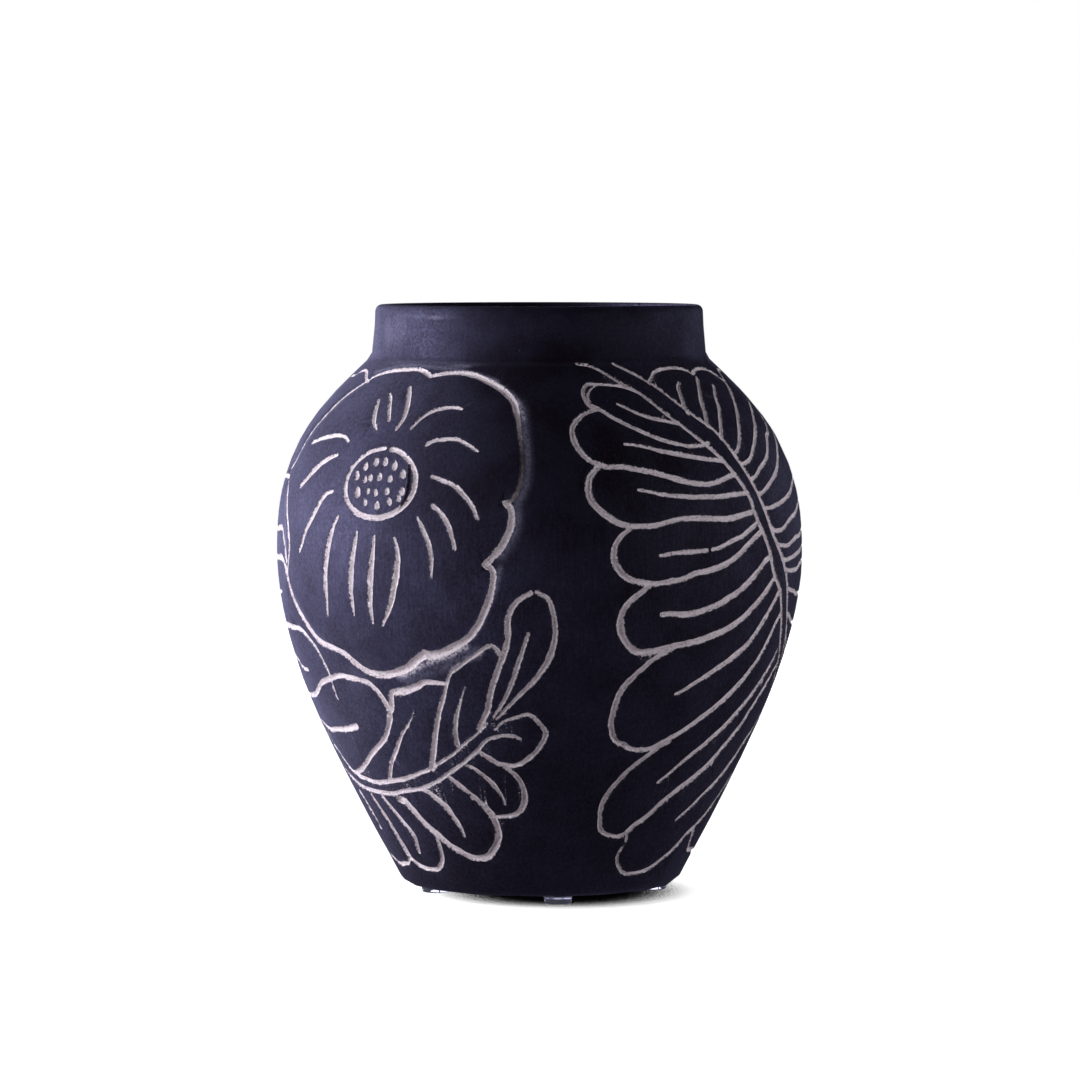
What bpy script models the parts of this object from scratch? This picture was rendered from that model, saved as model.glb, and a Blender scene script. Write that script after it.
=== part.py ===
"""Carved black clay pot standing on four clear self-adhesive pads, for Blender 4.5.

Run it with: blender --background --python part.py

The row frame: metres, +Z up the pot's axis, the origin on that axis at the plane the pads rest on,
and -Y towards the front, the side that carries the flower and the big frond.
Heights and radii below are in millimetres, azimuths in degrees from the front towards +X.
"""

import math

import bpy

MM = 0.001

# Pot body: one fired clay shell.
POT_HEIGHT = 260.0  # clay only, underside to lip
STAND_HEIGHT = 3.5  # the underside's height above the floor, taken up by pad and film
WALL = 7.0
FLOOR_THICKNESS = 9.0
BASE_EDGE_RADIUS = 9.0
LIP_RADIUS = 2.6
WALL_SEGMENTS = 64

# The outer wall, base to lip, as (radius, height above the floor). The curve through them is smooth.
BELLY = (
    (63.4, 9.0),
    (76.0, 31.6),
    (98.4, 76.6),
    (110.6, 108.0),
    (117.0, 135.0),
    (118.4, 157.0),
    (116.0, 180.0),
    (107.8, 202.6),
    (94.9, 220.6),
    (80.4, 235.4),
)
COLLAR = (
    (76.2, 239.2),
    (75.1, 245.0),
    (74.2, 251.0),
    (74.1, 257.5),
)

# Pads: clear moulded polyurethane discs, each with its own adhesive film above it.
PAD_TOP_RADIUS = 6.35
PAD_FOOT_RADIUS = 5.9
PAD_THICKNESS = 3.2
PAD_EDGE_RADIUS = 0.5
FILM_RADIUS = 6.2
FILM_THICKNESS = 0.2
SEAM = 0.05  # left between pad, film and clay
PAD_SEGMENTS = 24
PADS = {  # where each pad was stuck on by hand: azimuth, distance from the axis
    "front": (9.0, 51.0),
    "right": (97.0, 51.5),
    "back": (187.0, 50.0),
    "left": (-83.0, 47.5),
}


def clear_scene():
    for old in list(bpy.data.objects):
        bpy.data.objects.remove(old)


def make_material(name, colour, roughness, transmission=0.0):
    material = bpy.data.materials.new(name)
    material.use_nodes = True
    shader = material.node_tree.nodes["Principled BSDF"]
    shader.inputs["Base Color"].default_value = (*colour, 1.0)
    shader.inputs["Roughness"].default_value = roughness
    shader.inputs["Metallic"].default_value = 0.0
    shader.inputs["Transmission Weight"].default_value = transmission
    return material


def smooth_through(points, steps):
    """A Catmull-Rom curve through the points, with its ends led on in a straight line."""
    lead_in = tuple(2 * a - b for a, b in zip(points[0], points[1]))
    lead_out = tuple(2 * a - b for a, b in zip(points[-1], points[-2]))
    guide = [lead_in, *points, lead_out]
    curve = []
    for p0, p1, p2, p3 in zip(guide, guide[1:], guide[2:], guide[3:]):
        for step in range(steps):
            t = step / steps
            curve.append(
                tuple(
                    0.5
                    * (
                        2 * b
                        + (c - a) * t
                        + (2 * a - 5 * b + 4 * c - d) * t**2
                        + (3 * b - a - 3 * c + d) * t**3
                    )
                    for a, b, c, d in zip(p0, p1, p2, p3)
                )
            )
    return curve + [points[-1]]


def arc(centre, radius, start, end, steps):
    """Points of an arc, ends included. Angles are in degrees from +radius towards +height."""
    angles = [math.radians(start + (end - start) * i / steps) for i in range(steps + 1)]
    return [
        (centre[0] + radius * math.cos(a), centre[1] + radius * math.sin(a))
        for a in angles
    ]


def outer_profile():
    """The outer wall from the underside's flat to the lip, bottom to top."""
    belly = smooth_through(BELLY, 3)
    collar = smooth_through(COLLAR, 1)
    (r0, z0), (r1, z1) = belly[0], belly[1]
    wall_normal = math.degrees(math.atan2(-(r1 - r0), z1 - z0))
    centre = (
        r0 - BASE_EDGE_RADIUS * math.cos(math.radians(wall_normal)),
        STAND_HEIGHT + BASE_EDGE_RADIUS,
    )
    edge = arc(centre, BASE_EDGE_RADIUS, -90.0, wall_normal, 5)
    return edge + belly[1:] + collar


def inset(profile, distance):
    """The profile moved in from the outer wall, square to it."""
    moved = []
    for i, (radius, height) in enumerate(profile):
        before = profile[max(i - 1, 0)]
        after = profile[min(i + 1, len(profile) - 1)]
        along = (after[0] - before[0], after[1] - before[1])
        length = math.hypot(*along)
        moved.append(
            (
                radius - distance * along[1] / length,
                height + distance * along[0] / length,
            )
        )
    return moved


def pot_section():
    """The whole wall section, as a path from the axis under the lip's outside and back to the axis."""
    outer = outer_profile()
    top = STAND_HEIGHT + POT_HEIGHT
    lip_outer, lip_inner = outer[-1][0], outer[-1][0] - WALL
    lip = arc((lip_outer - LIP_RADIUS, top - LIP_RADIUS), LIP_RADIUS, 90, 0, 4)
    lip_in = arc((lip_inner + LIP_RADIUS, top - LIP_RADIUS), LIP_RADIUS, 180, 90, 4)
    floor_height = STAND_HEIGHT + FLOOR_THICKNESS
    inner = [p for p in inset(outer[:-1:2], WALL) if p[1] > floor_height + 4.0]
    inner_floor = [(0.0, floor_height), (inner[0][0] - 6.0, floor_height)]
    underside = [(0.0, STAND_HEIGHT)]
    return inner_floor + inner + lip_in + lip + outer[::-1] + underside


def turn(name, section, segments, material, collection, place=(0.0, 0.0)):
    """A solid of revolution. The section starts and ends on the axis, and runs down its outer side."""
    mesh = bpy.data.meshes.new(name)
    corners = [(radius * MM, 0.0, height * MM) for radius, height in section]
    mesh.from_pydata(corners, [(i, i + 1) for i in range(len(corners) - 1)], [])
    turned = bpy.data.objects.new(name, mesh)
    collection.objects.link(turned)
    turned.location = (place[0] * MM, place[1] * MM, 0.0)
    screw = turned.modifiers.new("turned", "SCREW")
    screw.steps = segments
    screw.render_steps = segments
    screw.use_merge_vertices = True
    screw.merge_threshold = 0.00001
    screw.use_smooth_shade = True
    mesh.materials.append(material)
    return turned


def pad_section():
    """A pad: flat foot, rounded foot edge, sides that flare a little, flat top."""
    edge_centre = (PAD_FOOT_RADIUS - PAD_EDGE_RADIUS, PAD_EDGE_RADIUS)
    foot_edge = arc(edge_centre, PAD_EDGE_RADIUS, 0, -90, 3)
    return [
        (0.0, PAD_THICKNESS),
        (PAD_TOP_RADIUS, PAD_THICKNESS),
        *foot_edge,
        (0.0, 0.0),
    ]


def film_section():
    bottom = PAD_THICKNESS + SEAM
    top = bottom + FILM_THICKNESS
    return [(0.0, top), (FILM_RADIUS, top), (FILM_RADIUS, bottom), (0.0, bottom)]


def main():
    clear_scene()
    collection = bpy.data.collections.new("black_clay_pot")
    bpy.context.scene.collection.children.link(collection)

    clay = make_material("black_clay", (0.018, 0.016, 0.024), 0.62)
    clear_rubber = make_material("clear_polyurethane", (0.86, 0.88, 0.9), 0.2, 0.85)
    adhesive = make_material("adhesive_film", (0.8, 0.8, 0.78), 0.4, 0.6)

    turn("pot_body", pot_section(), WALL_SEGMENTS, clay, collection)
    for side, (azimuth, distance) in PADS.items():
        angle = math.radians(azimuth)
        place = (distance * math.sin(angle), -distance * math.cos(angle))
        for kind, section, material in (
            ("pad", pad_section(), clear_rubber),
            ("adhesive", film_section(), adhesive),
        ):
            turn(f"{kind}_{side}", section, PAD_SEGMENTS, material, collection, place)


main()
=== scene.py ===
"""Looks of the carved black clay pot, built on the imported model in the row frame.

The pot's wall is unrolled into a fine grid, round the axis and along the wall's outline. Cuts are drawn
on that grid as strokes, given by azimuth (degrees from the front, -Y, towards +X) and height (mm), and the
grid is then folded back into one closed carved shell. The carving repeats after half a turn.
"""

import math
from collections import namedtuple

import bpy
import numpy as np
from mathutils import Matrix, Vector
from mathutils.bvhtree import BVHTree


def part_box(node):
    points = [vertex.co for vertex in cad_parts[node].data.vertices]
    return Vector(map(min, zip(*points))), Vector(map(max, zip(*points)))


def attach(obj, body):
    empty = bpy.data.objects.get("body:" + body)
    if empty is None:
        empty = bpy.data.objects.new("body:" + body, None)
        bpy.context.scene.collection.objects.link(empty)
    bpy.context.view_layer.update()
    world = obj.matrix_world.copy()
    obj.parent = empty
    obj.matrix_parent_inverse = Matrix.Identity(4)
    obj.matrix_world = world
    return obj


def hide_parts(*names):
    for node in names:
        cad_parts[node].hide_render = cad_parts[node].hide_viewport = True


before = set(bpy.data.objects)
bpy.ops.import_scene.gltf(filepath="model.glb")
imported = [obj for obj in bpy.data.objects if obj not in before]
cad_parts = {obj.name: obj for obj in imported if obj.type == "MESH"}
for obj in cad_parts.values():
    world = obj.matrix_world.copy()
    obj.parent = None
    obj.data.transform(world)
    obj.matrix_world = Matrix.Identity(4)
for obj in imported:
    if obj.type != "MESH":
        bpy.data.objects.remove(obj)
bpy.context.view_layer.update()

MM = 0.001

# Grid and mesh.
COLUMNS = 1500  # grid columns round the axis
ROW_STEP = 0.5  # mm between grid rows on the carved side
PLAIN_ROW_STEP = 2.5  # mm between rows where nothing is carved
TRIANGLES = 197_000

# Carving tool.
REACH = 7.0  # mm round a stroke that it can change
STROKE_STEP = 0.9  # mm between the stations of a stroke
CURVE_STEPS = 8  # to each span between a stroke's points
TREMBLE, SWAY = 4, 30  # stations over which a stroke's line trembles and drifts
WIDTH_STATIONS = 3  # stations over which its width changes
BACK_DRIFT = 0.5  # mm that the back's strokes drift from the front's
PLAIN_SEED, SMEAR_SEED, BACK_SEED = 100, 500, 1000  # where each kind's random seeds start
DEPTH_PER_WIDTH = 0.38
DEEPEST = 1.35  # mm, of a cut
GOUGE_POWER = 1.9  # shape of a cut across: 1 is a V, higher is fuller
WIDTH_JITTER = 0.06  # share of the width
LINE_JITTER = 0.05  # mm
SOOTED = 0.4  # mm of a cut's width, in all, that stays black at its two edges
FAR = 6.0  # mm, stands for "no cut near"
RIM_ROUNDING = 0.25  # mm inside a cut's edge, over which the shading turns into it
RIM = 0.45  # mm either side of a cut's edge, where the mesh stays fine
LIP_KEPT = 3.6  # mm below the top of the lip, where the mesh stays fine
SMEAR_EDGES = (4.0, 2.0)  # mm: a smear ends at a vertex whose longest edge lies between these
FAINT = 0.03  # strength at which a smear ends
KEEPING = 0.4  # how strongly the mesh stays fine at rims, smears and lip, from 0 to 1
SLOPE_DEPTH = 0.95  # mm, how far the ground outside the flower is cut down at its edge
SLOPE_START = 0.3  # of half a cut's width, from its middle
SLOPE_END = 1.5  # mm past the ends of a cut, over which its slope fades out
SMEAR_WINDOW = 2.2  # radii round a smear's path that it can change

# Hand-built unevenness.
WOBBLE_SEED, THROWING_SEED = 7, 11
WOBBLE = 0.35  # mm, and an n-th of it for a wave with n lobes
WOBBLE_LOBES = (2, 3, 4, 5, 7)  # round the pot
WOBBLE_WAVES = (90, 220)  # mm, shortest and longest up the wall
LEAN = -0.5  # mm sideways at the lip
STRETCH = 1.0055  # how much taller the fired pot stands than its drawn outline
COLLAR_NARROWER = 0.45  # mm of radius
THROAT, THROAT_HALF, THROAT_DEPTH = 241.5, 3.5, 0.45  # the crease at the collar's foot: height, mm
THROWING_PITCH = 7.5  # mm between the finger rings inside
THROWING_DEPTH = 0.35
THROWING_SWAY = 0.6  # radians of a ring that it rises and falls, three times round the pot
RINGS_FADE = (25.0, 45.0)  # mm from the axis, where they start on the floor and are full
UNDERSIDE_RADIUS = 50.0  # mm, nothing is carved within it
LIP_ZONE = 9.0  # mm inside the lip that keeps the fine rows
LIP_ROWS, LIP_COLUMNS = 2, 6  # the lip keeps one row in two, one column in six
AXIS_NEAR = 2.0  # mm round the axis, where the surface faces straight up or down

# Colours, linear.
INK_DARK = (0.0052, 0.0030, 0.0052)
INK_LIGHT = (0.0085, 0.0075, 0.0140)
INK_STREAK = (0.014, 0.013, 0.024)
# pale of dust and grit, also of the painted highlight along the collar's foot
DUST_AND_HIGHLIGHT = (0.27, 0.26, 0.38)
PALE_LIGHT = (0.84, 0.76, 0.83)
PALE_DARK = (0.44, 0.35, 0.39)
# dim brown for cuts that show darker
DIM_BROWN = (0.060, 0.040, 0.045)
# near-black for the painted shadow in the ring's hollow
PAINTED_SHADOW_BLACK = (0.008, 0.005, 0.007)
THICK_DUST = (0.56, 0.51, 0.58)
INK_SHEEN = (0.86, 0.84, 1.0)

# Widths in mm at even stations from start to end, usually three, and how clear of black the cut is
# at its start, middle and end: 1 is clean, 0 dim brown and -1 black, a painted shadow.
Stroke = namedtuple("Stroke", "widths points clean", defaults=((1.0, 1.0, 1.0),))


def strokes(*entries):
    return [Stroke(*entry) for entry in entries]


# ---------------------------------------------------------------- the carving, for half a turn

# The flower's edge, lobe by lobe, clockwise from the top left. The ground outside it slopes down to it.
FLOWER_EDGE = strokes(
    ((1.7, 2.3, 2.0), ((-63, 230.2), (-60.5, 232.3), (-57, 233.9), (-53, 234.9), (-48, 235.5), (-43, 235.8),
        (-39, 235), (-35.3, 233))),
    ((2.0, 3.0, 2.6), ((-35.3, 233), (-32, 233.9), (-28, 234.6), (-24, 234.6), (-20, 233.6), (-16, 231.7),
        (-12, 229), (-9, 226), (-6.8, 222.5), (-5.7, 218.5))),
    ((2.0, 0.9, 1.6), ((-5.8, 218), (-5.1, 214), (-4.5, 208), (-3.9, 202), (-3.7, 196), (-3.9, 190),
        (-4.7, 184.5), (-5.9, 181.3), (-7.4, 180)), (0.7, 0.0, 0.3)),
    ((2.2, 3.3, 2.6), ((-7.4, 180), (-6.3, 178.3), (-5.8, 175), (-5.9, 171), (-6.7, 166), (-8, 161),
        (-9.6, 157), (-11.4, 153.3))),
    ((2.4, 3.2, 3.8), ((-11.4, 153.3), (-10, 151.3), (-9.7, 148), (-10.1, 142), (-11, 136.5), (-12.2, 131),
        (-13.8, 125.5), (-16, 120.7), (-19, 117.3), (-22.3, 114.3), (-25, 113.2), (-26.3, 113.8))),
    ((3.6, 2.7, 3.2), ((-26.3, 113.8), (-28.2, 111.5), (-31, 107.7), (-34.7, 104.9), (-38, 103.7),
        (-41.5, 103.9), (-44.5, 105.4), (-47, 108.2), (-50, 111.8), (-54, 114), (-58, 115.6), (-60.5, 118),
        (-63.5, 122.8), (-66.5, 128), (-69.3, 134), (-71.2, 140), (-72, 145))),
    ((2.8, 3.2, 2.8), ((-72, 146), (-71, 150), (-70.3, 154), (-70.2, 159), (-71.2, 164.5), (-73.2, 171.5),
        (-75.5, 179), (-77.7, 184.3), (-79.5, 190))),
    ((2.6, 3.2, 2.6), ((-79.5, 191), (-77.3, 193.5), (-76.1, 198), (-75.2, 203), (-74.5, 208), (-73, 213),
        (-70.8, 219.3), (-68.8, 223.5), (-66.5, 226.3), (-64.3, 228.8), (-62.5, 230.5))),
)
FLOWER_EDGE_SLOPES = (0.0, 1.5, 6.0, 5.0, 2.5, 2.0, 4.5, 4.0)  # mm, width of the slope outside each lobe

RING_CENTRE = (-38.0, 187.2)
RING_HALF_SIZE = (9.8, 14.9)
RING_WIDTHS = (2.2, 2.2 * 1.1, 2.2 * 0.75)
RING_ENDS = (82.0, -267.0)  # degrees round the ring from its right side: the ends don't quite meet
RING_POINTS = 31
RING_PAINTED_SHADOW = Stroke(  # a painted shadow: a cut along the ring's inner right side, coloured black
    (0.8, 1.5, 0.9),
    ((-31.8, 199.5), (-30.6, 196), (-29.9, 190), (-29.8, 184), (-30.6, 178.5), (-32.2, 174.5)),
    (-1.0, -1.0, -1.0),
)

SEED_WIDTHS = ((0.1, 0.0), (0.4, 0.66), (0.5, 0.80))  # mm, and more for each mm of the nick's length
SEED_POINTS = ((-0.04, 0.6), (0.0, 0.0), (0.02, -0.3))  # degrees and mm off its middle, for each mm of it
SEEDS = (  # azimuth, height and length of each nick inside the ring
    (-42.8, 194.4, 2.6), (-39.9, 196.4, 2.6), (-37.3, 196.7, 2.8), (-34.4, 195.2, 3.0), (-31.7, 191.7, 3.0),
    (-44.9, 190.4, 2.8), (-42.1, 188.7, 1.9), (-40.5, 189.6, 2.2), (-37.9, 190.2, 2.4), (-34.9, 189.5, 2.3),
    (-43.5, 183.3, 3.4), (-40.4, 184.0, 1.9), (-38.2, 183.4, 2.1), (-35.2, 184.2, 2.2), (-31.3, 184.4, 2.8),
    (-40.8, 179.2, 2.0), (-37.3, 178.0, 2.8), (-34.2, 179.7, 2.6), (-31.8, 181.4, 2.2),
)

PETAL_CUTS = strokes(
    ((1.2, 2.3, 1.0), ((-49.3, 222.5), (-47.7, 217.7), (-45.7, 212.7), (-43.8, 209.8))),
    ((1.1, 1.9, 1.3), ((-46.5, 225.2), (-44.7, 222.8), (-43, 218.8), (-41, 214))),
    ((1.4, 2.3, 1.4), ((-40.4, 228.2), (-38.7, 224.5), (-37.2, 219.5), (-36.6, 214.5), (-37.4, 210.2))),
    ((1.1, 1.8, 1.3), ((-33, 210.8), (-31.3, 215), (-29.3, 217.8), (-26.7, 219.3), (-23.3, 220),
        (-20.7, 219.3))),
    ((1.7, 1.8, 1.1), ((-27.3, 204), (-25.7, 205.7), (-22.7, 206.5), (-20, 206.7), (-17.3, 204.7),
        (-14.3, 201.7))),
    ((1.4, 2.2, 1.5), ((-24.3, 190.7), (-22, 189.2), (-19, 187.2), (-16.7, 183.5), (-14.7, 179),
        (-13.1, 173))),
    ((1.6, 2.0, 1.5), ((-23.3, 178.2), (-21.3, 175), (-19.7, 170.5), (-18.7, 165.5), (-18, 160))),
    ((0.8, 1.9, 2.0, 1.7, 0.9), ((-26.7, 173.2), (-25, 167), (-23.7, 161), (-23.2, 155), (-23.3, 147))),
    ((0.9, 2.6, 3.2, 2.4, 0.7), ((-32.1, 164), (-31.3, 158), (-31.4, 151), (-32.3, 143), (-33.7, 134),
        (-36.3, 125.5))),
    ((0.9, 2.8, 3.1, 2.4, 0.8), ((-37.4, 164.5), (-37.7, 157), (-38.3, 149), (-38.7, 141), (-39, 133),
        (-38.9, 126.5))),
    ((0.9, 2.8, 3.0, 2.2, 0.8), ((-42.3, 166), (-43, 159), (-43.7, 151), (-44.2, 143), (-44.3, 136),
        (-44.2, 129.5))),
    ((0.9, 2.6, 3.0, 2.4, 0.9), ((-48.5, 172.5), (-50, 167), (-51.3, 159), (-52.2, 151), (-52.7, 143),
        (-52.9, 135), (-53.5, 128.5))),
    ((1.5, 2.5, 1.5), ((-52, 182.8), (-54, 181.5), (-56, 177), (-58.3, 171), (-60.7, 165), (-62.3, 159),
        (-63.5, 156))),
    ((1.5, 2.8, 1.8), ((-54.2, 198.5), (-56.3, 197.2), (-59, 195), (-61.7, 191.5), (-64.3, 187.5),
        (-66.7, 184))),
    ((1.2, 2.1, 1.8), ((-51.8, 204.5), (-54, 206.2), (-56.7, 206.7), (-59.3, 206.5), (-62.3, 205.8),
        (-65.3, 204.8), (-69.3, 203))),
)

# The big frond's stem: two long cuts from the collar, down and round to the branch of the next half turn.
STEM = strokes(
    ((1.3, 2.3, 2.4), ((12.7, 238.6), (18, 236.8), (24, 230.9), (29.3, 225.6), (35, 216), (40, 208),
        (45.7, 198.5), (49.5, 190), (52.7, 181), (54.7, 170.5), (58.7, 158), (61.3, 146.5), (65.3, 138),
        (69, 126), (72.7, 115), (76.3, 107), (82, 92), (88, 76), (95, 63), (103, 54))),
    ((1.3, 2.2, 2.4), ((25, 238.3), (30.3, 234.2), (35.7, 228.5), (40, 221.3), (44, 215), (48.3, 208.5),
        (52, 197), (55.3, 186), (58, 175), (61.3, 162.5), (65.7, 152), (69, 142), (71.7, 131), (74.7, 123),
        (78, 114), (84, 99), (90, 86), (97, 75), (103.7, 66))),
)

# The lobes on the frond's left: for each, the edge round its tip and back to the stem, then its vein.
FROND_LEFT = strokes(
    ((1.6, 1.5, 1.5), ((29.3, 225.8), (26.7, 227.8), (24, 229), (21, 229.6), (18, 229.9), (15.3, 230),
        (13.5, 229.3), (12.5, 227.2), (12.3, 224.5), (13.3, 221), (15, 219.6))),
    ((0.6, 0.9, 0.8), ((17.6, 229.7), (15.8, 228.8), (14.3, 227), (13.4, 224.2), (13.9, 221.4), (15, 220))),
    ((1.0, 2.0, 1.5), ((21.3, 221.5), (23.3, 219.8), (26, 217.5), (29.3, 215.5), (32.7, 214.2),
        (36.7, 212.8))),
    ((1.6, 1.9, 1.6), ((15, 220), (16.3, 218.8), (18.7, 216), (22, 212.8), (25.3, 210), (28.7, 207.2),
        (32, 205.2), (35.3, 203.8), (38, 203), (41.3, 203.1), (44, 204.2))),
    ((1.5, 2.4, 2.0), ((16, 219.5), (12.7, 218.2), (10.7, 216.5), (9, 213.8), (8, 210.5), (8.3, 206),
        (9.7, 201), (11.3, 198), (13.3, 196))),
    ((1.0, 2.1, 1.8), ((20.3, 204.5), (22.7, 204), (26, 203), (29.3, 201.3), (33.3, 200), (36.7, 198.8),
        (41.3, 197.5), (47, 196.2))),
    ((2.0, 2.4, 2.0), ((13.3, 196.3), (15.3, 195), (18.7, 195), (22, 193.8), (25.3, 192.7), (28.7, 191),
        (32, 189.2), (35.3, 187.7), (40, 186.6), (43.3, 187.7), (49, 190.2))),
    ((2.0, 2.9, 2.2), ((14, 196.3), (12.7, 194), (11.3, 191), (10.7, 187.5), (10.8, 183), (11.7, 179.5),
        (13.3, 176), (15.3, 173), (17.3, 170.8), (19.3, 169.8))),
    ((1.1, 1.9, 2.0), ((22, 185), (24, 184.5), (27.3, 183), (30.7, 182.2), (34.7, 181.5), (40, 181.2),
        (44.7, 181.3), (48, 181.8), (52.5, 182))),
    ((1.8, 2.3, 2.3), ((18.3, 170), (20.3, 169.5), (23.3, 169.5), (26, 170), (28.7, 171.2), (32, 172.3),
        (35.3, 172.3), (40, 171.9), (44.7, 171.5), (48, 172.3), (53.7, 174))),
    ((1.5, 2.8, 2.2), ((19.7, 168.8), (18, 166.5), (16.7, 163.5), (15.9, 160), (15.8, 156), (16.7, 151.5),
        (18.3, 148.2), (20.3, 146), (23, 145))),
    ((1.2, 1.8, 1.5), ((26.3, 156.8), (28.7, 157.2), (32, 157.8), (35.3, 158), (38.3, 158.2))),
    ((1.6, 2.0, 2.0), ((39.7, 158.5), (42, 159.2), (45.3, 161.5), (48.7, 163.5), (52, 166.5), (54.7, 169))),
    ((2.2, 2.5, 2.3), ((23, 145), (25.3, 144.7), (28.7, 145.3), (32, 146.3), (35.3, 148.5), (40, 149.8),
        (44.7, 152.8), (48, 156.2), (51.3, 160.2), (54, 163.2), (56.3, 165))),
    ((1.8, 3.3, 2.8), ((24, 144), (22, 141), (20, 138), (18.3, 134), (17.6, 129.5), (17.8, 125), (19, 120),
        (20.7, 116.5), (22.7, 114.7), (25.3, 114.8))),
    ((2.0, 2.8, 2.3), ((27.3, 131), (29.3, 131.2), (32, 130.7), (35.3, 131), (39, 132.6), (41.3, 133.8),
        (44.7, 136.5), (48, 139.5), (51.3, 143.5), (54.7, 148), (57.3, 152), (59.3, 153.5))),
    ((2.6, 2.9, 2.6), ((25.3, 114.8), (28.7, 116), (32, 117.2), (35.3, 118), (40, 120), (44.7, 122.5),
        (48, 125), (51.3, 128.5), (54.7, 133), (58, 138), (61.7, 144))),
    ((1.8, 2.6, 2.2), ((30.7, 115.4), (28, 113.2), (25.3, 110), (22, 104), (20, 100), (18.7, 95),
        (18.2, 90), (17.8, 84), (18.5, 79), (20, 75), (22, 73.5), (25.3, 71.2), (28, 71))),
    ((1.4, 3.0, 2.6), ((34, 95.5), (36, 97), (40, 101), (44.7, 105.5), (48, 108.5), (51.3, 112), (54, 115),
        (56.7, 120), (59.3, 125.5), (62, 131.5), (64.7, 137.5))),
    ((2.2, 3.0, 2.6), ((28, 71), (30.7, 71.5), (33.3, 73.5), (36, 75.7), (40, 79.3), (44.7, 84.5), (48, 88),
        (51.3, 92), (54.7, 97), (58, 102.5), (61.3, 109), (64.3, 118), (66.3, 124), (68, 127.5))),
    ((1.8, 2.1, 1.9), ((36, 74), (33.3, 72.2), (31.3, 69.5), (28.7, 66.5), (25.3, 62), (22.7, 57),
        (20.3, 51.5), (19, 46), (19.2, 40), (20, 35), (22, 32.7), (25.3, 31.4), (28, 31.6), (30.3, 33.2))),
    ((1.4, 3.0, 2.8), ((36.3, 55.5), (38, 57.5), (41.3, 62), (44.7, 66.5), (48, 70), (51.3, 74), (54.7, 78),
        (58, 83), (61.3, 88), (64.7, 93.5), (68, 100), (70.7, 105.5), (72, 110))),
    ((2.2, 3.2, 3.0), ((30.3, 33.6), (32.7, 36.5), (35.3, 39), (40, 45.5), (44.7, 51), (48, 54),
        (51.3, 57.5), (54.7, 61.5), (58, 67), (61.3, 73), (64.7, 78.5), (66.7, 84), (69.3, 90),
        (72.7, 96.5), (75, 101.5), (77.6, 104))),
    ((1.4, 1.2, 1.0), ((30.1, 33), (30.5, 31), (30.8, 29))),
    ((1.2, 2.5, 2.4), ((29.9, 25.8), (28.9, 22), (30, 18.5), (32, 15.6), (34, 13.8), (36.7, 13.2),
        (41.3, 13.5), (44.7, 14.2), (48, 15.5), (51.3, 18.2), (54.7, 21), (58, 25), (61.3, 29.5),
        (64, 31.8), (66.3, 34), (69.3, 37), (72.7, 42), (76, 47), (82, 56), (89, 70))),
    ((1.3, 3.0, 2.6), ((50.3, 37), (52.7, 39.5), (56, 43), (59.3, 47), (62.7, 50.5), (65.3, 53.5),
        (68, 57.5), (71.3, 63), (74.7, 70), (78, 74), (84, 85))),
)

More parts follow.
